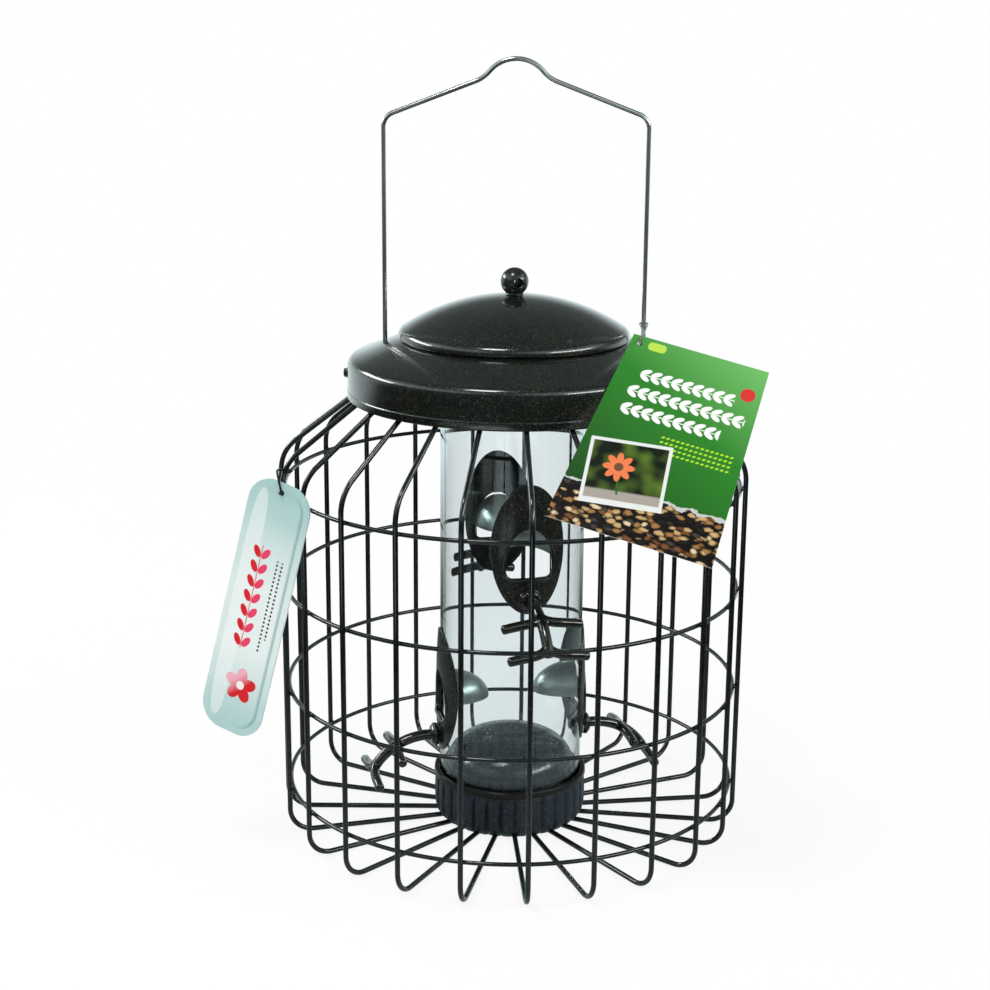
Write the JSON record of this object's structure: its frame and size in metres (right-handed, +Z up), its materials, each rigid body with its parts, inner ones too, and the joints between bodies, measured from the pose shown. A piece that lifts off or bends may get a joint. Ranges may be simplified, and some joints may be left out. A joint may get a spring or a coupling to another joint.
{
  "type": "squirrel proof bird feeder",
  "caption": "Hanging seed feeder: a clear tube with hooded ports and branched perches inside a round wire cage, under a domed roof with a lift-off lid and a bail handle.",
  "frame": {"origin": "centre of the floor plate's flat underside, on the tube's axis", "axes": "+Z up along the tube to the hanging hoop; -Y towards the front, where the upper port faces almost straight out; +X to the right, where a bail leg passes the roof"},
  "size_m": [0.2794, 0.2624, 0.404],
  "materials": {
    "cage_wire": "satin powder coat",
    "roof_paint": "gloss hammered metallic",
    "knob_metal": "gloss",
    "handle_wire": "satin",
    "clear_tube": "clear polycarbonate",
    "cast_plate": "matte textured",
    "pewter_hood": "satin",
    "perch_bronze": "gloss",
    "cap_coating": "matte textured",
    "deflector_plastic": "satin",
    "small_hardware": "satin",
    "green_card": "coated card",
    "thread": "twisted",
    "pale_tag": "satin",
    "loop_cord": "matte"
  },
  "bodies": {
    "feeder": {"base_cap": "cap_coating", "base_screws": "small_hardware", "cage_floor_plate": "cage_wire", "cage_ring_1": "cage_wire", "cage_ring_2": "cage_wire", "cage_ring_3": "cage_wire", "cage_ring_4": "cage_wire", "cage_top_ring": "cage_wire", "cage_upright_01": "cage_wire", "cage_upright_02": "cage_wire", "cage_upright_03": "cage_wire", "cage_upright_04": "cage_wire", "cage_upright_05": "cage_wire", "cage_upright_06": "cage_wire", "cage_upright_07": "cage_wire", "cage_upright_08": "cage_wire", "cage_upright_09": "cage_wire", "cage_upright_10": "cage_wire", "cage_upright_11": "cage_wire", "cage_upright_12": "cage_wire", "cage_upright_13": "cage_wire", "cage_upright_14": "cage_wire", "cage_upright_15": "cage_wire", "cage_upright_16": "cage_wire", "cage_upright_17": "cage_wire", "cage_upright_18": "cage_wire", "cage_upright_19": "cage_wire", "cage_upright_20": "cage_wire", "cage_upright_21": "cage_wire", "cage_upright_22": "cage_wire", "cage_upright_23": "cage_wire", "card_thread": "thread", "feed_tube": "clear_tube", "handle": "handle_wire", "perch_1": "perch_bronze", "perch_2": "perch_bronze", "perch_3": "perch_bronze", "perch_4": "perch_bronze", "perch_collars": "perch_bronze", "perch_nuts": "small_hardware", "port_hood_1": "pewter_hood", "port_hood_2": "pewter_hood", "port_hood_3": "pewter_hood", "port_hood_4": "pewter_hood", "port_plate_1": "cast_plate", "port_plate_2": "cast_plate", "port_plate_3": "cast_plate", "port_plate_4": "cast_plate", "roof": "roof_paint", "roof_screws": "small_hardware", "seed_deflector": "deflector_plastic", "side_brackets": "small_hardware", "strip_loop": "loop_cord", "tube_rivets": "small_hardware"},
    "lid_group": {"lid": "roof_paint", "knob": "knob_metal", "knob_screw": "small_hardware"},
    "card": {"card_tag": "green_card"},
    "tag": {"strip_tag": "pale_tag"}
  },
  "joints": [
    {"name": "lid_lift", "type": "slide", "parent": "feeder", "child": "lid_group", "axis": [0, 0, 1], "range_m": [0, 0.08]},
    {"name": "card_swing", "type": "hinge", "parent": "feeder", "child": "card", "pos_m": [0.06075, -0.0574, 0.27082], "axis": [-0.0648, -0.7403, 0.6691], "range_deg": [0, 25]},
    {"name": "tag_swing", "type": "hinge", "parent": "feeder", "child": "tag", "pos_m": [-0.1129, -0.06295, 0.19579], "axis": [-0.421, -0.9029, 0.0872], "range_deg": [-18, 12]}
  ]
}
